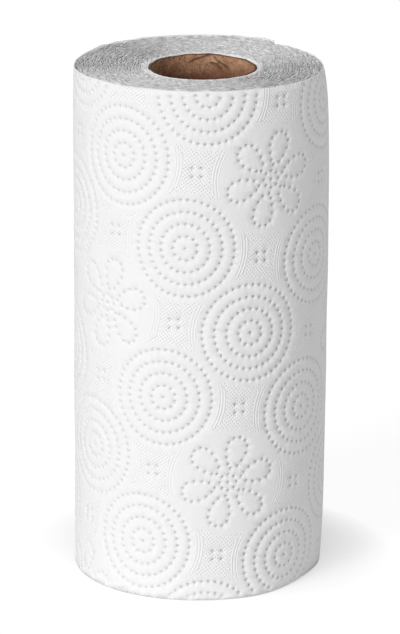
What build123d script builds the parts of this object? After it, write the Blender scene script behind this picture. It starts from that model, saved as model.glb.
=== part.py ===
from build123d import *

import math
import os

# A roll of embossed paper kitchen towel on a spiral-wound cardboard core, standing on its end.
# Millimetres, +Z up, origin on the core's axis at the end that the roll stands on, the camera's side at -Y.

# Driving sizes of the roll of paper
roll_diameter = 110.0
roll_height = 225.0
tail_azimuth = 54.0  # where the free end of the outer sheet lies, in degrees from +X towards +Y
tail_step = 0.7  # how far the free end stands proud of the turn below it
turn_count = 7  # turns of the paper drawn in each end face
turn_margin_share = 0.5  # bare land outside the first turn and inside the last, as a share of the pitch
turn_groove_width = 1.0
turn_groove_depth = 0.7

# Driving sizes of the cardboard core
core_bore_diameter = 46.5
core_wall = 0.8
core_recess = 2.0  # how far the core's upper edge lies below the end of the paper

# How far a cutter reaches past the face that it opens
overrun = 1.0

# Sizes that follow
roll_radius = roll_diameter / 2
core_bore_radius = core_bore_diameter / 2
core_outer_radius = core_bore_radius + core_wall
core_height = roll_height - core_recess
turn_pitch = (roll_radius - core_outer_radius) / (turn_count + 2 * turn_margin_share)
half_turn = 180.0

tail_direction = Vector(math.cos(math.radians(tail_azimuth)), math.sin(math.radians(tail_azimuth)), 0)


def half_turn_arcs(start_radius, pitch, turns):
    """Centre, radius and start angle of each half circle of a spiral that winds inwards from the tail."""
    arcs = []
    for index in range(2 * turns):
        odd = index % 2
        centre = tail_direction * (-pitch / 2 * odd)
        radius = start_radius - index * pitch / 2
        arcs.append((centre, radius, tail_azimuth + half_turn * odd))
    return arcs


def turn_groove(level, inwards):
    """Cut the line between the turns into one end face: a V that runs round as a spiral of half circles."""
    start_radius = roll_radius - turn_margin_share * turn_pitch
    for centre, radius, start_angle in half_turn_arcs(start_radius, turn_pitch, turn_count):
        outwards = Vector(1, 0, 0).rotate(Axis.Z, start_angle)
        section = Plane(origin=centre + Vector(0, 0, level), x_dir=outwards, z_dir=outwards.cross(Vector(0, 0, 1)))
        with BuildSketch(section) as groove:
            with BuildLine():
                Polyline(
                    (radius - turn_groove_width / 2, 0),
                    (radius - turn_groove_width / 2, -inwards * overrun),
                    (radius + turn_groove_width / 2, -inwards * overrun),
                    (radius + turn_groove_width / 2, 0),
                    (radius, inwards * turn_groove_depth),
                    close=True,
                )
            make_face()
        revolve(groove.sketch, axis=Axis(centre, (0, 0, 1)), revolution_arc=half_turn, mode=Mode.SUBTRACT)


# The wound paper: one solid whose outline is a single turn of the sheet, stepped at its free end
with BuildPart() as paper_roll:
    with BuildSketch():
        with BuildLine():
            outer_arcs = half_turn_arcs(roll_radius, tail_step, 1)
            for centre, radius, start_angle in outer_arcs:
                CenterArc(centre, radius, start_angle, half_turn)
            Line(tail_direction * (roll_radius - tail_step), tail_direction * roll_radius)
        make_face()
        Circle(core_outer_radius, mode=Mode.SUBTRACT)
    extrude(amount=roll_height)
    turn_groove(roll_height, -1)
    turn_groove(0, 1)

# The core: a plain tube of brown board, cut square, its upper edge a little below the paper
with BuildPart() as cardboard_core:
    with BuildSketch():
        Circle(core_outer_radius)
        Circle(core_bore_radius, mode=Mode.SUBTRACT)
    extrude(amount=core_height)

paper_roll.part.label = "paper_roll"
cardboard_core.part.label = "cardboard_core"

os.makedirs("parts", exist_ok=True)
export_step(paper_roll.part, "parts/paper_roll.step")
export_step(cardboard_core.part, "parts/cardboard_core.step")
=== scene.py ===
"""A roll of embossed paper kitchen towel on its cardboard core, standing on its end.

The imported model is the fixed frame. The wound paper and the core are built again here in full detail, in
the same place and at the same size. Lengths below are in millimetres, and MM turns them to metres.
"""

import math

import bpy
import numpy as np
from mathutils import Matrix, Vector, geometry, noise


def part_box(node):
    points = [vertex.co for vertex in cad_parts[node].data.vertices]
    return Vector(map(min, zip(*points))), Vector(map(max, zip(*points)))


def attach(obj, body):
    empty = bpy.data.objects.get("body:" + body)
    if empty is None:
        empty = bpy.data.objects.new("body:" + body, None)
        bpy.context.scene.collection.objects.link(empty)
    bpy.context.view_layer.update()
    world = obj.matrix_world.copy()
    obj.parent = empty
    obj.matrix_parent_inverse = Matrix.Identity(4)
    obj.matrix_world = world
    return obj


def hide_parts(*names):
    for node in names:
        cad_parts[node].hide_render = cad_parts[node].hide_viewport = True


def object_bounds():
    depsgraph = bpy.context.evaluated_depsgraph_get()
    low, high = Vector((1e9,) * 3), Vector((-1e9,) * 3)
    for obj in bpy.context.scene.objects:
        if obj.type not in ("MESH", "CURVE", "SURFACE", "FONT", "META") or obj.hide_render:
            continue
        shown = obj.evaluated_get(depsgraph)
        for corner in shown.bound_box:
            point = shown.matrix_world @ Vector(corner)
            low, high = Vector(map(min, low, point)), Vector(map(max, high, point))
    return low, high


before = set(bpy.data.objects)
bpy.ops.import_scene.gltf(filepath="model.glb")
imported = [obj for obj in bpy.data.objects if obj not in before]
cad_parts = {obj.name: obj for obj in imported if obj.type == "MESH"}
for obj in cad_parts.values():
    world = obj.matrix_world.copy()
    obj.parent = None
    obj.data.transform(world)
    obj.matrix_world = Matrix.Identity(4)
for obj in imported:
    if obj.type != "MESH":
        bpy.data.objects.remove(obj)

MM = 0.001
FULL_TURN = 2 * math.pi
TOLERANCE = 0.001

# The roll, as the frame gives it
cad_low, cad_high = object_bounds()
core_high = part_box("cardboard_core")[1]
ROLL_HEIGHT = (cad_high.z - cad_low.z) / MM
ROLL_RADIUS = -cad_low.x / MM
CORE_OUTER_RADIUS = core_high.x / MM
CORE_HEIGHT = core_high.z / MM
CORE_WALL = 0.8
CORE_BORE_RADIUS = CORE_OUTER_RADIUS - CORE_WALL

# The outer sheet: its free end lies at the tail, and it winds anticlockwise from there, seen from above
TAIL_ANGLE = math.radians(54 - 360)
TAIL_STEP = 0.7
SHEET_THICKNESS = 0.4
TUCK_LENGTH = 9.0  # how far the sheet goes on under its own free end
FRONT_ANGLE = math.radians(-90)  # where the length along the sheet counts from, facing the camera
SHEET_START = (TAIL_ANGLE - FRONT_ANGLE) * ROLL_RADIUS
SHEET_END = SHEET_START + FULL_TURN * ROLL_RADIUS + TUCK_LENGTH


# Tools for meshes


class PointGrid:
    """Flat points kept in square cells, to tell quickly whether a new one is far enough from all of them."""

    def __init__(self, distance, points=()):
        self.distance = distance
        self.cells = {}
        for point in points:
            self.add(point)

    def cell(self, point):
        return math.floor(point.x / self.distance), math.floor(point.y / self.distance)

    def add(self, point):
        self.cells.setdefault(self.cell(point), []).append(point)

    def is_clear(self, point):
        """Whether every point of the grid is at least the distance away."""
        i, j = self.cell(point)
        near = [q for a in (-1, 0, 1) for b in (-1, 0, 1) for q in self.cells.get((i + a, j + b), [])]
        return all((point - q).length >= self.distance for q in near)


def ring_points(centre, radius, count, phase):
    """Points evenly spaced on a circle."""
    angles = [phase + FULL_TURN * i / count for i in range(count)]
    return [centre + radius * Vector((math.cos(angle), math.sin(angle))) for angle in angles]


def noise_around(angle, scale, level):
    """Smooth noise that closes on itself round the axis, finer with a greater scale."""
    return noise.noise(Vector((math.cos(angle) * scale, math.sin(angle) * scale, level)))


def below_top(v, reach):
    """1 at the roll's upper end, fading downwards."""
    return math.exp(-(ROLL_HEIGHT - v) / reach)


def mesh_object(name, points, faces, material, smooth=True):
    """A mesh object at the origin, with points in millimetres."""
    mesh = bpy.data.meshes.new(name)
    mesh.from_pydata([tuple(MM * c for c in point) for point in points], [], faces)
    mesh.validate()
    if smooth:
        mesh.shade_smooth()
    else:
        mesh.shade_flat()
    mesh.materials.append(material)
    piece = bpy.data.objects.new(name, mesh)
    bpy.context.scene.collection.objects.link(piece)
    return piece


def keep_values(piece, name, values):
    """Keep a number or a vector for each of the mesh's points, under a name that its material reads."""
    values = np.array(values, np.float32)
    kind, field = ("FLOAT", "value") if values.ndim == 1 else ("FLOAT_VECTOR", "vector")
    piece.data.attributes.new(name, kind, "POINT").data.foreach_set(field, values.ravel())


def ring_shell(outline, sides):
    """Points and faces of a closed ring: the outline's (radius, height) points, swept about the axis."""
    points, faces = [], []
    count = len(outline)
    for k in range(sides):
        angle = FULL_TURN * k / sides
        points += [(r * math.cos(angle), r * math.sin(angle), z) for r, z in outline]
        after = (k + 1) % sides
        for i in range(count):
            j = (i + 1) % count
            faces.append((k * count + i, after * count + i, after * count + j, k * count + j))
    return points, faces


# Tools for node trees


def linear(hex_colour):
    """Linear RGBA from an sRGB hex value."""
    parts = [int(hex_colour[i : i + 2], 16) / 255 for i in (1, 3, 5)]
    return [c / 12.92 if c <= 0.04045 else ((c + 0.055) / 1.055) ** 2.4 for c in parts] + [1.0]


def add_node(tree, kind, links=None, **settings):
    """One node with its settings; links gives, for each input, the socket that feeds it or its value."""
    node = tree.nodes.new(kind)
    for name, value in settings.items():
        setattr(node, name, value)
    for name, value in (links or {}).items():
        if isinstance(value, bpy.types.NodeSocket):
            tree.links.new(value, node.inputs[name])
        else:
            node.inputs[name].default_value = value
    return node


def math_node(tree, operation, *values):
    return add_node(tree, "ShaderNodeMath", dict(enumerate(values)), operation=operation).outputs[0]


def product(tree, first, *others):
    """All the values multiplied together."""
    for value in others:
        first = math_node(tree, "MULTIPLY", first, value)
    return first


def vector_node(tree, operation, *values):
    node = add_node(tree, "ShaderNodeVectorMath", dict(enumerate(values)), operation=operation)
    return node.outputs["Value" if operation in ("LENGTH", "DOT_PRODUCT") else "Vector"]


def scaled(tree, vector, factor):
    return add_node(tree, "ShaderNodeVectorMath", {0: vector, "Scale": factor}, operation="SCALE").outputs[0]


def combined(tree, **parts):
    """A vector of its X, Y and Z parts, 0 where one isn't given."""
    return add_node(tree, "ShaderNodeCombineXYZ", parts).outputs[0]


def flat_length(tree, a, b):
    return vector_node(tree, "LENGTH", combined(tree, X=a, Y=b))


def noise_node(tree, place, scale, detail, roughness):
    links = {"Vector": place, "Scale": scale, "Detail": detail, "Roughness": roughness}
    return add_node(tree, "ShaderNodeTexNoise", links).outputs[0]


def spread(tree, value, low, high):
    """0 at low and beyond it, 1 at high and beyond it."""
    links = {"Value": value, "From Min": low, "From Max": high}
    return add_node(tree, "ShaderNodeMapRange", links).outputs[0]


def mixed(tree, first, second, share):
    """One colour going over into another."""
    return add_node(tree, "ShaderNodeMix", {0: share, 6: first, 7: second}, data_type="RGBA").outputs[2]


def attribute(tree, name):
    return add_node(tree, "ShaderNodeAttribute", attribute_name=name).outputs["Fac"]


def new_material(name, roughness, specular):
    """A material, its node tree and its shader."""
    material = bpy.data.materials.new(name)
    material.use_nodes = True
    shader = material.node_tree.nodes["Principled BSDF"]
    shader.inputs["Roughness"].default_value = roughness
    shader.inputs["Specular IOR Level"].default_value = specular
    return material, material.node_tree, shader


# The embossed pattern, laid out flat: u runs along the sheet and v up the roll

# Sites of the pattern lie on a square lattice of this side, turned by the 3-4-5 triangle's angle
LATTICE_SIDE = 47.1
LATTICE_P = Vector((0.8, 0.6)) * LATTICE_SIDE
LATTICE_Q = Vector((0.6, -0.8)) * LATTICE_SIDE
LATTICE_ORIGIN = Vector((-34.5, 194.8))
LATTICE_REACH = 12  # sites each way from the origin, enough to cover the sheet

# A medallion is a centre dot with rings of dots about it
RING_SPACING = 5.27
RING_COUNT = 4
RING_DOTS = 11  # dots in the inner ring; ring k has k times as many
RING_FIRST_ANGLE = 108  # in degrees, and each ring's first dot lies a step further round than the last one's
RING_ANGLE_STEP = 7
RING_TROUGH = 0.03  # how deep the sheet dips along a ring, between its dots
RING_TROUGH_WIDTH = 1.0

# A rosette stands at every site whose two indices are odd: dotted petals about a small ring
PETAL_COUNT = 6
PETAL_TURN = 0.25  # how far the petals are turned, as a share of the angle between two
PETAL_DOTS = 13
PETAL_CENTRE = 13.2
PETAL_LENGTH = 7.2
PETAL_WIDTH = 4.3
PETAL_SWELL = 0.35  # how much broader a petal is towards its outer end
ROSETTE_RING = 3.6
ROSETTE_RING_DOTS = 8

# Between four sites lies a square field of fine dots with four larger dots in its middle
FIELD_DOT_OFFSET = 1.9

DOT_RADIUS = 0.76
DOT_DEPTH = 0.8
DOT_SPACING_MIN = 2.0  # dots nearer than this to one already placed are left out
DOT_EDGE_MARGIN = 1.5 * DOT_RADIUS


def on_sheet(point, margin):
    """Whether a flat point lies on the sheet, further than the margin from its edges."""
    along = SHEET_START + margin < point.x < SHEET_END - margin
    return along and margin < point.y < ROLL_HEIGHT - margin


def lattice_sites(shift):
    """Centres of the lattice's sites near the sheet, each with its two indices."""
    found = []
    for i in range(-LATTICE_REACH, LATTICE_REACH + 1):
        for j in range(-LATTICE_REACH, LATTICE_REACH + 1):
            centre = LATTICE_ORIGIN + (i + shift) * LATTICE_P + (j + shift) * LATTICE_Q
            if on_sheet(centre, -LATTICE_SIDE):
                found.append((centre, i, j))
    return found


def medallion_dots(centre):
    dots = [centre]
    for ring in range(1, RING_COUNT + 1):
        phase = math.radians(RING_FIRST_ANGLE + RING_ANGLE_STEP * ring)
        dots += ring_points(centre, ring * RING_SPACING, ring * RING_DOTS, phase)
    return dots


def rosette_dots(centre):
    dots = [centre] + ring_points(centre, ROSETTE_RING, ROSETTE_RING_DOTS, 0)
    for petal in range(PETAL_COUNT):
        angle = FULL_TURN * (petal + PETAL_TURN) / PETAL_COUNT
        outwards = Vector((math.cos(angle), math.sin(angle)))
        across = Vector((-outwards.y, outwards.x))
        for k in range(PETAL_DOTS):
            phase = FULL_TURN * k / PETAL_DOTS
            width = PETAL_WIDTH * (1 + PETAL_SWELL * math.cos(phase))
            point = centre + outwards * (PETAL_CENTRE + PETAL_LENGTH * math.cos(phase))
            dots.append(point + across * (width * math.sin(phase)))
    return dots


def field_dots(centre):
    half = FIELD_DOT_OFFSET
    return [centre + Vector((x, y)) for x in (-half, half) for y in (-half, half)]


def sheet_pattern():
    """Places of all the dots, and the medallion centres."""
    dots, medallions = [], []
    for centre, i, j in lattice_sites(0):
        if i % 2 == 1 and j % 2 == 1:
            dots += rosette_dots(centre)
        else:
            dots += medallion_dots(centre)
            medallions.append(centre)
    for centre, _, _ in lattice_sites(0.5):
        dots += field_dots(centre)
    grid, kept = PointGrid(DOT_SPACING_MIN), []
    for dot in dots:
        if on_sheet(dot, DOT_EDGE_MARGIN) and grid.is_clear(dot):
            kept.append(dot)
            grid.add(dot)
    return kept, medallions


# Where the soft roll is out of round: the edge concerned, the direction about the axis in degrees, how far it
# spreads to each side, how far it reaches from that edge, and how far the paper moves out and up
SOFT_PLACES = (
    ("top", 8, 62, 11, -2.2, -0.5),
    ("top", 172, 40, 10, -0.5, -1.0),
    ("top", 100, 60, 10, 0.0, 0.35),
    ("bottom", -32, 34, 13, -1.5, 0.7),
    ("bottom", -10, 60, 34, -0.6, 0.0),
    ("bottom", -135, 45, 16, 0.8, 0.0),
)
UP_REACH_SHARE = 0.8  # how far the moves up or down reach, as a share of the moves out or in
OVAL_OUT = 1.0  # the roll's right side stands out a little between its ends
OVAL_FADE = 14.0
TAIL_RISE = 0.7  # the free end's corner stands above the turn that it covers
TAIL_RISE_LENGTH = 45.0
TAIL_RISE_REACH = 8.0
WAVE_LENGTH = 34.0  # slow ups and downs of the whole wall
WAVE_HEIGHT = 0.28
EDGE_WAVE_LENGTH = 6.0  # the upper cut edge isn't dead straight
EDGE_WAVE_HEIGHT = 0.45
EDGE_WAVE_SINK = 0.4  # how much more the edge dips than it rises
EDGE_WAVE_REACH = 3.0


def soft_move(angle, v):
    """Outward and upward move of the roll's wall at one place."""
    out, up = 0.0, 0.0
    for edge, direction, half_width, reach, far_out, far_up in SOFT_PLACES:
        turn = (math.degrees(angle) - direction + 180) % 360 - 180
        if abs(turn) >= half_width:
            continue
        across = 0.5 + 0.5 * math.cos(math.pi * turn / half_width)
        distance = ROLL_HEIGHT - v if edge == "top" else v
        out += far_out * across * math.exp(-distance / reach)
        up += far_up * across * math.exp(-distance / (reach * UP_REACH_SHARE))
    at_ends = below_top(v, OVAL_FADE) + math.exp(-v / OVAL_FADE)
    out += OVAL_OUT * max(math.cos(angle), 0.0) ** 2 * max(1 - at_ends, 0.0)
    out += WAVE_HEIGHT * noise_around(angle, ROLL_RADIUS / WAVE_LENGTH, v / WAVE_LENGTH)
    return out, up


def edge_wave(angle, v):
    """Small ups and downs of the sheet near its upper cut edge."""
    wave = noise_around(angle, ROLL_RADIUS / EDGE_WAVE_LENGTH, 0.0) - EDGE_WAVE_SINK
    return EDGE_WAVE_HEIGHT * below_top(v, EDGE_WAVE_REACH) * wave


def tail_rise(angle, v):
    """How far the free end's side of the step stands up, fading along the sheet and down the roll."""
    turned = (angle - TAIL_ANGLE) % FULL_TURN * ROLL_RADIUS
    start = math.exp(-turned / TAIL_RISE_LENGTH)
    end = math.exp((turned - FULL_TURN * ROLL_RADIUS) / TAIL_RISE_LENGTH)
    return TAIL_RISE * (start - end) * below_top(v, TAIL_RISE_REACH)


def sheet_radius(u):
    """The outer face's distance from the axis: a round half turn, one that draws in, then the tucked end."""
    turned = (u - SHEET_START) / ROLL_RADIUS
    if turned < math.pi:
        return ROLL_RADIUS
    if turned < FULL_TURN:
        return ROLL_RADIUS - TAIL_STEP / 2 * (1 + math.cos(turned))
    return ROLL_RADIUS - TAIL_STEP


def wrapped(u, v, height):
    """A point of the flat sheet, and its height over the sheet's face, rolled up about the axis."""
    angle = FRONT_ANGLE + u / ROLL_RADIUS
    out, up = soft_move(angle, v)
    radius = sheet_radius(u) + height + out
    tucked = u > SHEET_START + FULL_TURN * ROLL_RADIUS
    rise = -TAIL_RISE * below_top(v, TAIL_RISE_REACH) if tucked else tail_rise(angle, v)
    z = v + up + edge_wave(angle, v) + rise
    return radius * math.cos(angle), radius * math.sin(angle), max(z, 0.0)


# The outer sheet as one closed shell: its embossed face, its smooth back, and the cut edge between them

EDGE_POINT_SPACING = 1.1
END_POINT_SPACING = 2.0
FREE_POINT_SPACING = 2.9  # mesh points where nothing is pressed
FREE_POINT_KEEP_OFF = 0.6 * FREE_POINT_SPACING
BACK_POINT_SPACING = 11.0
# Mesh points on the crest inside each of a medallion's rings, and on the one outside the last
CREST_POINTS = (8, 14, 19, 25, 30)
CREST_TURN = 0.1  # how far each of those rings of points is turned
COLLAR_CLEARANCE = 0.35  # what the crests' points keep from a dot's collar
MERGE_DISTANCE = 1e-6
SLIVER_AREA = 1e-9  # triangles no larger than this are left out

# The rings of mesh points about a dot: radius and depth as shares of the dot's, and how far each is turned
DOT_SIDES = 6
DOT_TURN = 0.3
DOT_COLLAR_SHARE = 1.25
DOT_RINGS = (
    (0.52, 0.78, DOT_TURN),  # the pit's shoulder
    (1.0, 0.0, DOT_TURN),  # its rim
    # A flat collar, so that the dot's shading ends with it
    (DOT_COLLAR_SHARE, 0.0, DOT_TURN + math.pi / DOT_SIDES),
)


def depth_along_rings(points, medallions):
    """How far each point dips because it lies near a ring of some medallion."""
    u = np.array([p.x for p in points])
    v = np.array([p.y for p in points])
    nearest = np.full(len(points), np.inf)
    for centre in medallions:
        nearest = np.minimum(nearest, np.hypot(u - centre.x, v - centre.y))
    ring = np.clip(np.round(nearest / RING_SPACING), 1, RING_COUNT)
    return RING_TROUGH * np.exp(-(((nearest - ring * RING_SPACING) / RING_TROUGH_WIDTH) ** 2))


def sheet_outline():
    """Points round the sheet's edges, anticlockwise."""
    count_u = round((SHEET_END - SHEET_START) / EDGE_POINT_SPACING)
    count_v = round(ROLL_HEIGHT / END_POINT_SPACING)
    step_u, step_v = (SHEET_END - SHEET_START) / count_u, ROLL_HEIGHT / count_v
    low = [Vector((SHEET_START + k * step_u, 0)) for k in range(count_u)]
    right = [Vector((SHEET_END, k * step_v)) for k in range(count_v)]
    high = [Vector((SHEET_END - k * step_u, ROLL_HEIGHT)) for k in range(count_u)]
    left = [Vector((SHEET_START, ROLL_HEIGHT - k * step_v)) for k in range(count_v)]
    return low + right + high + left


def free_points(spacing, taken, keep_off, margin):
    """A staggered grid of points inside the sheet, away from the taken ones."""
    grid, found = PointGrid(keep_off, taken), []
    rows = round(ROLL_HEIGHT / spacing)
    for row in range(1, rows):
        u = SHEET_START + margin + (row % 2) * spacing / 2
        while u < SHEET_END - margin:
            point = Vector((u, ROLL_HEIGHT * row / rows))
            if grid.is_clear(point):
                found.append(point)
            u += spacing
    return found


def face_points(outline, dots, medallions):
    """The embossed face's points, the outline's first, and how deep each one is pressed."""
    points, depths = list(outline), [0.0] * len(outline)
    for dot in dots:
        points.append(dot)
        depths.append(DOT_DEPTH)
        for radius_share, depth_share, turn in DOT_RINGS:
            points += ring_points(dot, DOT_RADIUS * radius_share, DOT_SIDES, turn)
            depths += [DOT_DEPTH * depth_share] * DOT_SIDES
    crests = []
    for centre in medallions:
        for ring, count in enumerate(CREST_POINTS):
            crests += ring_points(centre, (ring + 0.5) * RING_SPACING, count, CREST_TURN)
    grid = PointGrid(DOT_RADIUS * DOT_COLLAR_SHARE + COLLAR_CLEARANCE, dots)
    crests = [p for p in crests if on_sheet(p, EDGE_POINT_SPACING) and grid.is_clear(p)]
    plain = free_points(FREE_POINT_SPACING, dots + crests, FREE_POINT_KEEP_OFF, EDGE_POINT_SPACING)
    points += crests + plain
    depths += [0.0] * (len(crests) + len(plain))
    return points, depths


def triangulate(points):
    """Triangles over flat points, wound anticlockwise, in the points' own order."""
    result = geometry.delaunay_2d_cdt(points, [], [], 0, MERGE_DISTANCE, True)
    corners, triangles, sources = result[0], result[2], result[3]
    own = [ids[0] for ids in sources]
    made = []
    for a, b, c in triangles:
        area = (corners[b] - corners[a]).cross(corners[c] - corners[a]) / 2
        if abs(area) > SLIVER_AREA:
            made.append((own[a], own[b], own[c]) if area > 0 else (own[a], own[c], own[b]))
    return made


def embossed_sheet(material):
    dots, medallions = sheet_pattern()
    outline = sheet_outline()
    points, depths = face_points(outline, dots, medallions)
    heights = -np.array(depths) - depth_along_rings(points, medallions)
    back = outline + free_points(BACK_POINT_SPACING, outline, END_POINT_SPACING, BACK_POINT_SPACING / 2)

    solid = [wrapped(p.x, p.y, height) for p, height in zip(points, heights)]
    solid += [wrapped(p.x, p.y, -SHEET_THICKNESS) for p in outline]
    # Away from its cut edges the sheet's back lies below its deepest dots, so that none breaks through it
    solid += [wrapped(p.x, p.y, -SHEET_THICKNESS - DOT_DEPTH) for p in back[len(outline) :]]

    start, count = len(points), len(outline)
    faces = triangulate(points)
    faces += [(start + a, start + c, start + b) for a, b, c in triangulate(back)]
    for k in range(count):
        after = (k + 1) % count
        faces.append((after, k, start + k, start + after))

    piece = mesh_object("embossed_sheet", solid, faces, material)
    keep_values(piece, "pressed", [depth / DOT_DEPTH for depth in depths] + [0.0] * len(back))
    keep_values(piece, "sheet_place", [(p.x, p.y, 0.0) for p in points + back])
    return piece


# The core's upper end is a little out of round: pressed in at its left and right, and higher at its back
CORE_PRESS_LEFT = 2.0
CORE_PRESS_RIGHT = 0.25
CORE_BACK_RISE = 0.8
CORE_END_REACH = 9.0


def core_move(angle, z):
    """Outward and upward move of the core's wall at one place."""
    near_end = math.exp(-max(CORE_HEIGHT - z, 0.0) / CORE_END_REACH)
    press = CORE_PRESS_LEFT if math.cos(angle) < 0 else CORE_PRESS_RIGHT
    out = -near_end * press * math.cos(angle) ** 4
    up = near_end * CORE_BACK_RISE * max(math.sin(angle), 0.0) ** 2
    return out, up


# The turns under the outer sheet: the cut edge of one long strip, wound as a spiral, at both ends of the roll

TURN_PITCH = 0.46
TURN_THICKNESS = 0.32
TURN_STRIP_DEPTH = 3.0
TOP_TURN_POINTS = 150  # points in one turn
BOTTOM_TURN_POINTS = 72
TOP_UNEVENNESS = 3.0  # how far turns stand above or below each other, if the noise spans its whole range
BOTTOM_UNEVENNESS = 1.0
TURN_WANDER = 0.5
NOISE_ALONG_TURN = 11.0
NOISE_PER_TURN = 1.3
TOP_SEED = 0.0
BOTTOM_SEED = 40.0
GLUED_EVENNESS = 0.9  # how much of the unevenness the glue next to the core takes away
GLUED_SHARPNESS = 12.0
TOP_DISH = (0.4, 2.2)  # how far the turns' edges lie inside the roll's end, outermost and beside the core
BOTTOM_DISH = (0.35, 1.2)
SHEET_CLEARANCE = 0.15  # between the outer sheet and the turns
CORE_CLEARANCE = 0.05
WOUND_RADIUS = ROLL_RADIUS - TAIL_STEP - SHEET_THICKNESS - SHEET_CLEARANCE
WOUND_INNER_RADIUS = CORE_OUTER_RADIUS + CORE_CLEARANCE
BODY_INSET = 0.1  # what the plain inner body keeps from the outermost turn's outside
BODY_RADIUS = WOUND_RADIUS - BODY_INSET
BODY_BELOW_EDGES = 2.4  # how far under the turns' edges the plain inner body ends
BODY_SIDES = 120
BODY_ROWS = 24
CORE_MOVE_FADE = 7.0  # the turns round the core follow its moves, less and less outwards


def turns_tree(material):
    """One flat strip wound on edge: its upper edge's height varies from turn to turn and along each turn."""
    tree = bpy.data.node_groups.new("wound_strip", "GeometryNodeTree")
    face = tree.interface
    face.new_socket("Geometry", in_out="INPUT", socket_type="NodeSocketGeometry")
    face.new_socket("Geometry", in_out="OUTPUT", socket_type="NodeSocketGeometry")
    for label in ("Outer radius", "Inner radius", "Turns", "Strip thickness", "Strip depth", "End height"):
        face.new_socket(label, in_out="INPUT", socket_type="NodeSocketFloat")
    for label in ("Dish outside", "Dish inside", "Unevenness", "Side wander", "Seed"):
        face.new_socket(label, in_out="INPUT", socket_type="NodeSocketFloat")
    face.new_socket("Points in a turn", in_out="INPUT", socket_type="NodeSocketInt")
    given = add_node(tree, "NodeGroupInput").outputs

    winding = {
        "Resolution": given["Points in a turn"],
        "Rotations": given["Turns"],
        "Start Radius": given["Outer radius"],
        "End Radius": given["Inner radius"],
        "Height": 0.0,
    }
    spiral = add_node(tree, "GeometryNodeCurveSpiral", winding)
    position = add_node(tree, "GeometryNodeInputPosition").outputs[0]
    radius = vector_node(tree, "LENGTH", position)
    outwards = vector_node(tree, "NORMALIZE", position)
    span = math_node(tree, "SUBTRACT", given["Outer radius"], given["Inner radius"])
    inwardness = math_node(tree, "DIVIDE", math_node(tree, "SUBTRACT", given["Outer radius"], radius), span)
    dish_span = math_node(tree, "SUBTRACT", given["Dish inside"], given["Dish outside"])
    dish = math_node(tree, "MULTIPLY_ADD", inwardness, dish_span, given["Dish outside"])

    # Noise that runs quickly from turn to turn and more slowly along each turn
    turn_index = product(tree, inwardness, given["Turns"])
    apart = math_node(tree, "MULTIPLY_ADD", turn_index, NOISE_PER_TURN, given["Seed"])
    spot = vector_node(tree, "ADD", scaled(tree, outwards, NOISE_ALONG_TURN), combined(tree, Z=apart))
    uneven = noise_node(tree, spot, scale=1.0, detail=2.0, roughness=0.6)
    wander = noise_node(tree, spot, scale=0.9, detail=1.0, roughness=0.5)
    # The turns next to the core are glued and lie even
    glued = math_node(tree, "POWER", inwardness, GLUED_SHARPNESS)
    loose = math_node(tree, "MULTIPLY_ADD", glued, -GLUED_EVENNESS, 1.0)
    unevenness = product(tree, given["Unevenness"], loose)
    rise = product(tree, math_node(tree, "SUBTRACT", uneven, 0.5), unevenness)
    aside = product(tree, math_node(tree, "SUBTRACT", wander, 0.5), given["Side wander"])
    height = math_node(tree, "ADD", math_node(tree, "SUBTRACT", given["End height"], dish), rise)
    offset = vector_node(tree, "ADD", scaled(tree, outwards, aside), combined(tree, Z=height))
    raised = add_node(tree, "GeometryNodeSetPosition", {"Geometry": spiral.outputs[0], "Offset": offset})
    upright = add_node(tree, "GeometryNodeSetCurveNormal", {0: raised.outputs[0]}, mode="Z_UP")

    section = {"Width": given["Strip thickness"], "Height": given["Strip depth"]}
    profile = add_node(tree, "GeometryNodeCurvePrimitiveQuadrilateral", section)
    # The section's second axis points down on the spiral, so this hangs the strip from its upper edge
    shift = combined(tree, Y=product(tree, given["Strip depth"], 0.5))
    hung = add_node(tree, "GeometryNodeSetPosition", {"Geometry": profile.outputs[0], "Offset": shift})
    links = {"Curve": upright.outputs[0], "Profile Curve": hung.outputs[0], "Fill Caps": True}
    strip = add_node(tree, "GeometryNodeCurveToMesh", links)
    real = add_node(tree, "GeometryNodeRealizeInstances", {0: strip.outputs[0]})
    clad = add_node(tree, "GeometryNodeSetMaterial", {"Geometry": real.outputs[0], "Material": material})
    add_node(tree, "NodeGroupOutput", {"Geometry": clad.outputs[0]})
    return tree


def points_from_tree(tree, values):
    """The tree's result: points in millimetres and faces."""
    carrier = bpy.data.objects.new("maker", bpy.data.meshes.new("maker"))
    bpy.context.scene.collection.objects.link(carrier)
    modifier = carrier.modifiers.new("maker", "NODES")
    modifier.node_group = tree
    for socket in tree.interface.items_tree:
        if socket.in_out == "INPUT" and socket.name in values:
            modifier[socket.identifier] = values[socket.name]
    evaluated = carrier.evaluated_get(bpy.context.evaluated_depsgraph_get())
    mesh = bpy.data.meshes.new_from_object(evaluated)
    bpy.data.objects.remove(carrier)
    points = np.zeros(len(mesh.vertices) * 3, np.float32)
    mesh.vertices.foreach_get("co", points)
    faces = [tuple(face.vertices) for face in mesh.polygons]
    bpy.data.meshes.remove(mesh)
    return (points.reshape(-1, 3).astype(float) / MM).tolist(), faces


def spiral_strip(tree, dish, unevenness, turn_points, seed):
    values = {
        "Outer radius": WOUND_RADIUS * MM,
        "Inner radius": (WOUND_INNER_RADIUS + TURN_PITCH / 2) * MM,
        "Turns": (WOUND_RADIUS - WOUND_INNER_RADIUS) / TURN_PITCH,
        "Strip thickness": TURN_THICKNESS * MM,
        "Strip depth": TURN_STRIP_DEPTH * MM,
        "End height": ROLL_HEIGHT * MM,
        "Dish outside": dish[0] * MM,
        "Dish inside": dish[1] * MM,
        "Unevenness": unevenness * MM,
        "Side wander": TURN_WANDER * MM,
        "Seed": seed,
        "Points in a turn": turn_points,
    }
    return points_from_tree(tree, values)


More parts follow.
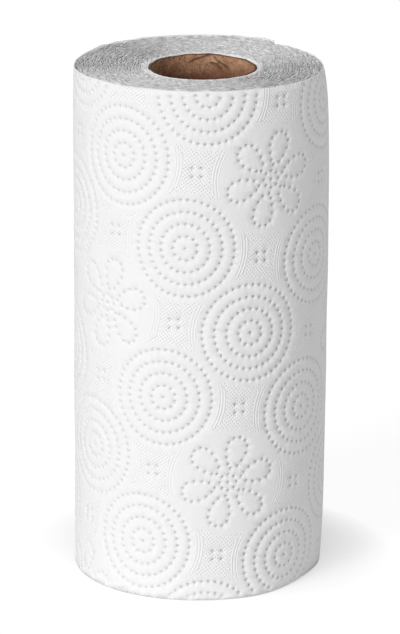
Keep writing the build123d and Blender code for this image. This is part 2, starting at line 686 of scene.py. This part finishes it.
def inner_body():
    """The wound paper between the two ends' turns, plain, so that no light passes through the roll."""
    top = [ROLL_HEIGHT - dish - BODY_BELOW_EDGES for dish in TOP_DISH]
    low = [dish + BODY_BELOW_EDGES for dish in BOTTOM_DISH]
    shares = [k / BODY_ROWS for k in range(BODY_ROWS + 1)]
    outline = [(BODY_RADIUS, low[0] + (top[0] - low[0]) * share) for share in shares]
    outline += [(WOUND_INNER_RADIUS, top[1] + (low[1] - top[1]) * share) for share in shares]
    return ring_shell(outline, BODY_SIDES)


def softened(points):
    """The points moved with the soft wall and, near the core, with the core."""
    moved = []
    for x, y, z in points:
        radius, angle = math.hypot(x, y), math.atan2(y, x)
        from_core = max(radius - CORE_OUTER_RADIUS, 0.0)
        wall_share = (from_core / (WOUND_RADIUS - CORE_OUTER_RADIUS)) ** 2
        core_share = math.exp(-from_core / CORE_MOVE_FADE)
        out, up = soft_move(angle, z)
        core_out, core_up = core_move(angle, z)
        radius += wall_share * out + core_share * core_out
        z += wall_share * (up + tail_rise(angle, z)) + core_share * core_up
        moved.append((radius * math.cos(angle), radius * math.sin(angle), z))
    return moved


def wound_turns(material):
    tree = turns_tree(material)
    points, faces = spiral_strip(tree, TOP_DISH, TOP_UNEVENNESS, TOP_TURN_POINTS, TOP_SEED)
    low, low_faces = spiral_strip(tree, BOTTOM_DISH, BOTTOM_UNEVENNESS, BOTTOM_TURN_POINTS, BOTTOM_SEED)
    # The lower end's strip is made like the upper one's and turned over
    faces += [tuple(len(points) + i for i in reversed(face)) for face in low_faces]
    points += [(x, y, max(ROLL_HEIGHT - z, 0.0)) for x, y, z in low]
    body, body_faces = inner_body()
    faces += [tuple(len(points) + i for i in face) for face in body_faces]
    points += body
    return mesh_object("wound_turns", softened(points), faces, material, smooth=False)


# The cardboard tube: spiral-wound board with an uneven cut edge and a few creases near its upper end

TUBE_SIDES = 260
TUBE_FINE_LENGTH = 22.0  # the part at the upper end that is seen, with closer rows of points
TUBE_FINE_ROWS = 44
TUBE_PLAIN_ROWS = 12
TUBE_OUTER_ROW_STEP = 6  # the outer wall, which isn't seen, has one in this many of the closer rows
TUBE_BEVEL = 0.12
# The cut edge's unevenness: noise of two finenesses, which moves the wall's end out and up
TUBE_EDGE_REACH = 4.0
TUBE_EDGE_LOBES = 3
TUBE_EDGE_FINE_LOBES = 11
TUBE_EDGE_FINE_SHARE = 0.7
TUBE_EDGE_SEEDS = (5.0, 9.0)
TUBE_EDGE_OUT = 0.25
TUBE_EDGE_UP = 0.3
TUBE_EDGE_SINK = 0.6  # how much more the edge dips than it rises
CREASE_DEPTH = 0.175
CREASE_WIDTH = 0.4
# Creases in the bore: lines through places given as degrees about the axis and lengths below the upper edge
CREASES = (
    ((103, 3.4), (97, 2.2), (92, 1.6), (86, 0.9), (80, 0.2)),
    ((76, 1.2), (72, 2.6), (66, 3.8), (60, 5.2)),
    ((80, 3.6), (74, 4.2), (68, 5.6)),
)


def crease_strength(angle, z):
    """1 on a crease's line, fading to 0 beside it."""
    here = Vector((angle % FULL_TURN * CORE_BORE_RADIUS, CORE_HEIGHT - z))
    nearest = math.inf
    for line in CREASES:
        spots = [Vector((math.radians(turn) * CORE_BORE_RADIUS, down)) for turn, down in line]
        for start, end in zip(spots, spots[1:]):
            along = (end - start) / (end - start).length
            reached = min(max((here - start).dot(along), 0.0), (end - start).length)
            nearest = min(nearest, (here - start - along * reached).length)
    return math.exp(-((nearest / CREASE_WIDTH) ** 2))


def tube_outline(fine_start):
    """The wall's section: down the bore, past the lower cut edge, up the outer wall, past the upper edge."""
    bore, outer, bevel = CORE_BORE_RADIUS, CORE_OUTER_RADIUS, TUBE_BEVEL
    heights = [bevel + (fine_start - bevel) * k / TUBE_PLAIN_ROWS for k in range(TUBE_PLAIN_ROWS)]
    fine_length = CORE_HEIGHT - bevel - fine_start
    fine_heights = [fine_start + fine_length * k / TUBE_FINE_ROWS for k in range(TUBE_FINE_ROWS + 1)]
    outline = [(bore, z) for z in reversed(heights + fine_heights)]
    outline += [(bore + bevel, 0.0), (outer - bevel, 0.0)]
    outline += [(outer, z) for z in heights + fine_heights[:-1:TUBE_OUTER_ROW_STEP] + fine_heights[-1:]]
    outline += [(outer - bevel, CORE_HEIGHT), (bore + bevel, CORE_HEIGHT)]
    return outline


def core_tube(material):
    """The tube, closed all round: bore, outer wall and both cut edges."""
    fine_start = CORE_HEIGHT - TUBE_FINE_LENGTH
    points, faces = ring_shell(tube_outline(fine_start), TUBE_SIDES)
    moved, creased, cut = [], [], []
    for x, y, z in points:
        radius, angle = math.hypot(x, y), math.atan2(y, x)
        near_end = math.exp(-(CORE_HEIGHT - z) / TUBE_EDGE_REACH)
        ripple = noise_around(angle, TUBE_EDGE_LOBES, TUBE_EDGE_SEEDS[0])
        fine_ripple = TUBE_EDGE_FINE_SHARE * noise_around(angle, TUBE_EDGE_FINE_LOBES, TUBE_EDGE_SEEDS[1])
        out, up = core_move(angle, z)
        in_bore = radius < CORE_BORE_RADIUS + TUBE_BEVEL / 2
        crease = crease_strength(angle, z) if in_bore and z > fine_start else 0.0
        radius += out + near_end * TUBE_EDGE_OUT * (ripple - 0.5) - CREASE_DEPTH * crease
        up += TUBE_EDGE_UP * near_end * (ripple + fine_ripple - TUBE_EDGE_SINK)
        moved.append((radius * math.cos(angle), radius * math.sin(angle), z + up))
        creased.append(crease)
        from_end = min(z, CORE_HEIGHT - z)
        cut.append(1.0 if from_end <= TUBE_BEVEL + TOLERANCE else 0.0)
    piece = mesh_object("core_tube", moved, faces, material)
    keep_values(piece, "crease", creased)
    keep_values(piece, "cut_edge", cut)
    return piece


# Materials

# The fields of fine dots between the medallions, pressed too lightly to be modelled
FIELD_SITE_CLEAR = 23.9  # they keep this far from the sites' centres
FIELD_SIDE_FADE = 0.2
FIELD_REACH = 14.6  # and end this far from their own
FIELD_END_FADE = 0.3
FIELD_PITCH = 1.22
FIELD_DEPTH = 0.23
FIELD_LINES_WIDTH = 3.4  # along a field's left and right sides run a few curved lines in place of dots
FIELD_LINES_SHARE = 0.36  # how strongly the lines are pressed, against the dots

# The creping: how fine it is along the sheet and up the roll, and how deep if the noise spans its whole range
CREPE_FINENESS = (1.5, 0.55, 1.0)
CREPE_DEPTH = 0.14

# How much painted shade darkens the sheet in its pressed dots, and in the fine ones against the others
PRESSED_SHADE = 0.68
FINE_SHADE_SHARE = 0.7

# Mottling of the turns' edges, partly painted shade of the gaps between them, about the axis and in
# millimetres across the turns
MOTTLE_AROUND = 16.0
MOTTLE_ACROSS = 0.62
GLUED_BAND = (1.2, 3.0)  # how far from the core the white band of glued turns begins to fade, and ends

# The board's blotches and fibres for each metre, its grain's depth, and how far down the bore its painted
# shade starts and is darkest
BOARD_BLOTCHES = 260.0
BOARD_FIBRES = 1300.0
BOARD_GRAIN = 0.25
BORE_SHADE = (2, 11)


def field_pattern(tree, place):
    """How far a place is pressed by a field's fine dots and lines, and whether it lies in a field at all."""
    moved = vector_node(tree, "SUBTRACT", place, (LATTICE_ORIGIN.x, LATTICE_ORIGIN.y, 0.0))
    local = []
    for axis in (LATTICE_P, LATTICE_Q):
        along = axis / LATTICE_SIDE**2
        share = math_node(tree, "FRACT", vector_node(tree, "DOT_PRODUCT", moved, (along.x, along.y, 0.0)))
        local.append(product(tree, math_node(tree, "SUBTRACT", share, 0.5), LATTICE_SIDE))
    a, b = local
    sizes = [math_node(tree, "ABSOLUTE", c) for c in local]
    from_site = flat_length(tree, *(math_node(tree, "SUBTRACT", LATTICE_SIDE / 2, size) for size in sizes))
    from_own = flat_length(tree, a, b)
    clear = spread(tree, from_site, FIELD_SITE_CLEAR - FIELD_SIDE_FADE, FIELD_SITE_CLEAR + FIELD_SIDE_FADE)
    near = spread(tree, from_own, FIELD_REACH + FIELD_END_FADE, FIELD_REACH - FIELD_END_FADE)
    field = product(tree, clear, near)

    waves = [math_node(tree, "SINE", product(tree, c, FULL_TURN / FIELD_PITCH)) for c in (a, b, from_site)]
    dots = product(tree, *(math_node(tree, "MAXIMUM", wave, 0.0) for wave in waves[:2]))
    lines = product(tree, waves[2], FIELD_LINES_SHARE)
    beside = math_node(tree, "GREATER_THAN", product(tree, a, b), 0.0)
    close = math_node(tree, "LESS_THAN", from_site, FIELD_SITE_CLEAR + FIELD_LINES_WIDTH)
    lined = product(tree, beside, close)
    pressed = add_node(tree, "ShaderNodeMix", {0: lined, 2: dots, 3: lines}).outputs[0]
    return product(tree, pressed, field), field


def paper_material():
    """Creped two-ply tissue: matt and white, finely creped up the roll, with fields of fine pressed dots,
    painted shade in its dots and a painted lift in its fields.
    """
    material, tree, shader = new_material("white_crepe_tissue", roughness=0.9, specular=0.2)
    place = add_node(tree, "ShaderNodeAttribute", attribute_name="sheet_place").outputs["Vector"]
    pressed, field = field_pattern(tree, place)
    finely = product(tree, pressed, -FIELD_DEPTH)
    stretched = vector_node(tree, "MULTIPLY", place, CREPE_FINENESS)
    crepe = noise_node(tree, stretched, scale=1.0, detail=3.0, roughness=0.65)
    height = math_node(tree, "MULTIPLY_ADD", crepe, CREPE_DEPTH, finely)
    bump = add_node(tree, "ShaderNodeBump", {"Height": height, "Strength": 1.0, "Distance": MM})
    tree.links.new(bump.outputs[0], shader.inputs["Normal"])
    # Painted shade darkens the dots; painted light lifts the fields, against the shade of their fine bumps
    field_lifted = mixed(tree, linear("#f6f6f7"), linear("#fcfcfc"), field)
    fine_shade = product(tree, pressed, FINE_SHADE_SHARE)
    shade_amount = math_node(tree, "MAXIMUM", attribute(tree, "pressed"), fine_shade)
    shaded = mixed(tree, field_lifted, linear("#c3c4c7"), product(tree, shade_amount, PRESSED_SHADE))
    tree.links.new(shaded, shader.inputs["Base Color"])
    return material


def cut_edge_material():
    """The cut edges of many turns of tissue: matt, with a grey mottle that is partly loose fibres and partly
    painted shade of the gaps between plies.
    """
    material, tree, shader = new_material("cut_tissue_edges", roughness=0.95, specular=0.1)
    place = add_node(tree, "ShaderNodeTexCoord").outputs["Object"]
    flat = vector_node(tree, "MULTIPLY", place, (1.0, 1.0, 0.0))
    radius = vector_node(tree, "LENGTH", flat)
    around = scaled(tree, vector_node(tree, "NORMALIZE", flat), MOTTLE_AROUND)
    across = combined(tree, Z=math_node(tree, "DIVIDE", radius, MOTTLE_ACROSS * MM))
    mottle = noise_node(tree, vector_node(tree, "ADD", around, across), scale=1.0, detail=3.0, roughness=0.7)
    # Painted shade: the mottle's grey lows stand for the shade in the gaps between turns
    tint = mixed(tree, linear("#b4b4b3"), linear("#fcfcfc"), spread(tree, mottle, 0.33, 0.68))
    band_start, band_end = ((CORE_OUTER_RADIUS + distance) * MM for distance in GLUED_BAND)
    banded = mixed(tree, tint, linear("#ffffff"), spread(tree, radius, band_end, band_start))
    tree.links.new(banded, shader.inputs["Base Color"])
    return material


def board_material():
    """Brown kraft board: matt, blotched, flecked with short fibres, darker at its cut edge, with painted
    shade in its creases and down its bore.
    """
    material, tree, shader = new_material("brown_kraft_board", roughness=0.85, specular=0.2)
    place = add_node(tree, "ShaderNodeTexCoord").outputs["Object"]
    blotches = noise_node(tree, place, scale=BOARD_BLOTCHES, detail=3.0, roughness=0.6)
    fibres = noise_node(tree, place, scale=BOARD_FIBRES, detail=4.0, roughness=0.75)
    tint = mixed(tree, linear("#b08263"), linear("#deaf8c"), spread(tree, blotches, 0.32, 0.68))
    flecked = mixed(tree, linear("#6b4c38"), tint, spread(tree, fibres, 0.31, 0.53))
    # Painted shade: the deeper parts of the bore are painted darker
    height = add_node(tree, "ShaderNodeSeparateXYZ", {0: place}).outputs["Z"]
    shade_start, shade_end = ((CORE_HEIGHT - down) * MM for down in BORE_SHADE)
    deep_bore_colour = mixed(tree, linear("#4a2312"), flecked, 0.1)
    shaded = mixed(tree, deep_bore_colour, flecked, spread(tree, height, shade_end, shade_start))
    # Painted shade along the creases, over their real grooves
    creased = mixed(tree, shaded, linear("#2e1d14"), product(tree, attribute(tree, "crease"), 0.8))
    worn = mixed(tree, creased, linear("#4a3226"), product(tree, attribute(tree, "cut_edge"), 0.85))
    tree.links.new(worn, shader.inputs["Base Color"])
    links = {"Height": fibres, "Strength": 0.35, "Distance": BOARD_GRAIN * MM}
    bump = add_node(tree, "ShaderNodeBump", links)
    tree.links.new(bump.outputs[0], shader.inputs["Normal"])
    return material


# The stage

FLOOR_HALF = 20.0 / MM
FLOOR_SHADE_SHARE = 0.2  # how much of the floor's look comes from the light that falls on it
FLOOR_GLOW = 0.885
FLOOR_WHITENESS = 0.85  # what the floor throws back on the roll
SHADOW_REACH = 0.034  # in metres
SHADOW_SIDE = (-0.4, -0.88, 0.26)  # the side of the floor's sky that the shadow is reckoned from
SHADOW_DEPTH = 0.78
SHADOW_SAMPLES = 8

WORLD_STRENGTH = 0.385
WORLD_TILT = 0.36  # how much more fill comes from the right than on average
WINDOW_AZIMUTH = math.radians(-39)
WINDOW_ELEVATION = math.radians(30)
WINDOW_STRENGTH = 1.98
WINDOW_SPREAD = math.radians(22)


def floor_material():
    """A white floor: for the camera it glows but for the roll's shadow, and for other light it is matt."""
    material = bpy.data.materials.new("white_floor")
    material.use_nodes = True
    tree = material.node_tree
    tree.nodes.clear()
    seen = add_node(tree, "ShaderNodeLightPath").outputs["Is Camera Ray"]
    lit = add_node(tree, "ShaderNodeBsdfDiffuse", {"Color": (FLOOR_SHADE_SHARE,) * 3 + (1,)})
    # Near the roll the floor is darker, most on the side away from the window
    side = combined(tree, **dict(zip("XYZ", SHADOW_SIDE)))
    links = {"Distance": SHADOW_REACH, "Normal": side}
    open_sky = add_node(tree, "ShaderNodeAmbientOcclusion", links, samples=SHADOW_SAMPLES)
    darkening = product(tree, math_node(tree, "SUBTRACT", 1.0, open_sky.outputs["AO"]), SHADOW_DEPTH)
    kept = math_node(tree, "MAXIMUM", math_node(tree, "SUBTRACT", 1.0, darkening), 0.0)
    strength = product(tree, kept, FLOOR_GLOW)
    glow = add_node(tree, "ShaderNodeEmission", {"Color": (1, 1, 1, 1), "Strength": strength})
    shown = add_node(tree, "ShaderNodeAddShader", {0: lit.outputs[0], 1: glow.outputs[0]})
    plain = add_node(tree, "ShaderNodeBsdfDiffuse", {"Color": (FLOOR_WHITENESS,) * 3 + (1,)})
    both = add_node(tree, "ShaderNodeMixShader", {0: seen, 1: plain.outputs[0], 2: shown.outputs[0]})
    add_node(tree, "ShaderNodeOutputMaterial", {"Surface": both.outputs[0]})
    return material


def studio():
    """A white floor that keeps the roll's shadow, and a surround that looks white and lights the roll."""
    half = FLOOR_HALF
    corners = [(-half, -half, 0), (half, -half, 0), (half, half, 0), (-half, half, 0)]
    mesh_object("floor", corners, [(0, 1, 2, 3)], floor_material(), smooth=False)

    world = bpy.data.worlds.new("studio")
    bpy.context.scene.world = world
    world.use_nodes = True
    tree = world.node_tree
    tree.nodes.clear()
    seen = add_node(tree, "ShaderNodeLightPath").outputs["Is Camera Ray"]
    direction = add_node(tree, "ShaderNodeTexCoord").outputs["Generated"]
    rightness = add_node(tree, "ShaderNodeSeparateXYZ", {0: direction}).outputs["X"]
    tilted = math_node(tree, "MULTIPLY_ADD", rightness, WORLD_TILT * WORLD_STRENGTH, WORLD_STRENGTH)
    room = add_node(tree, "ShaderNodeBackground", {"Color": (1, 1, 1, 1), "Strength": tilted})
    white = add_node(tree, "ShaderNodeBackground", {"Color": (1, 1, 1, 1), "Strength": 1.0})
    both = add_node(tree, "ShaderNodeMixShader", {0: seen, 1: room.outputs[0], 2: white.outputs[0]})
    add_node(tree, "ShaderNodeOutputWorld", {"Surface": both.outputs[0]})


def window():
    """Soft light from the front left, like a large window."""
    light = bpy.data.lights.new("window", "SUN")
    light.energy = WINDOW_STRENGTH
    light.angle = WINDOW_SPREAD
    lamp = bpy.data.objects.new("window", light)
    bpy.context.scene.collection.objects.link(lamp)
    level = math.cos(WINDOW_ELEVATION)
    x, y = math.sin(WINDOW_AZIMUTH) * level, -math.cos(WINDOW_AZIMUTH) * level
    towards = Vector((x, y, math.sin(WINDOW_ELEVATION)))
    lamp.rotation_euler = (-towards).to_track_quat("-Z", "Y").to_euler()


# The camera, fitted to the photo: its place in millimetres, its pitch and roll in degrees
CAMERA_DISTANCE = 1453.8
CAMERA_HEIGHT = 545.7
CAMERA_PITCH = math.radians(16.64)
CAMERA_ROLL = math.radians(0.263)
FOCAL_PIXELS = 3470.0
IMAGE_LONG_SIDE_PIXELS = 634
SENSOR = 36.0


def camera():
    forward = Vector((0, math.cos(CAMERA_PITCH), -math.sin(CAMERA_PITCH)))
    level_up = Vector((0, math.sin(CAMERA_PITCH), math.cos(CAMERA_PITCH)))
    level_right = Vector((1, 0, 0))
    right = math.cos(CAMERA_ROLL) * level_right + math.sin(CAMERA_ROLL) * level_up
    up = -math.sin(CAMERA_ROLL) * level_right + math.cos(CAMERA_ROLL) * level_up
    data = bpy.data.cameras.new("camera")
    data.sensor_width = SENSOR
    data.lens = SENSOR * FOCAL_PIXELS / IMAGE_LONG_SIDE_PIXELS
    eye = bpy.data.objects.new("camera", data)
    bpy.context.scene.collection.objects.link(eye)
    turn = Matrix((right, up, -forward)).transposed()
    eye.matrix_world = Matrix.Translation(Vector((0, -CAMERA_DISTANCE, CAMERA_HEIGHT)) * MM) @ turn.to_4x4()
    bpy.context.scene.camera = eye


camera()
studio()
window()
bpy.context.scene.view_settings.view_transform = "Standard"

sheet = embossed_sheet(paper_material())
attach(sheet, "root")
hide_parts("paper_roll")
turns = wound_turns(cut_edge_material())
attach(turns, "root")
tube = core_tube(board_material())
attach(tube, "root")
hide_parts("cardboard_core")
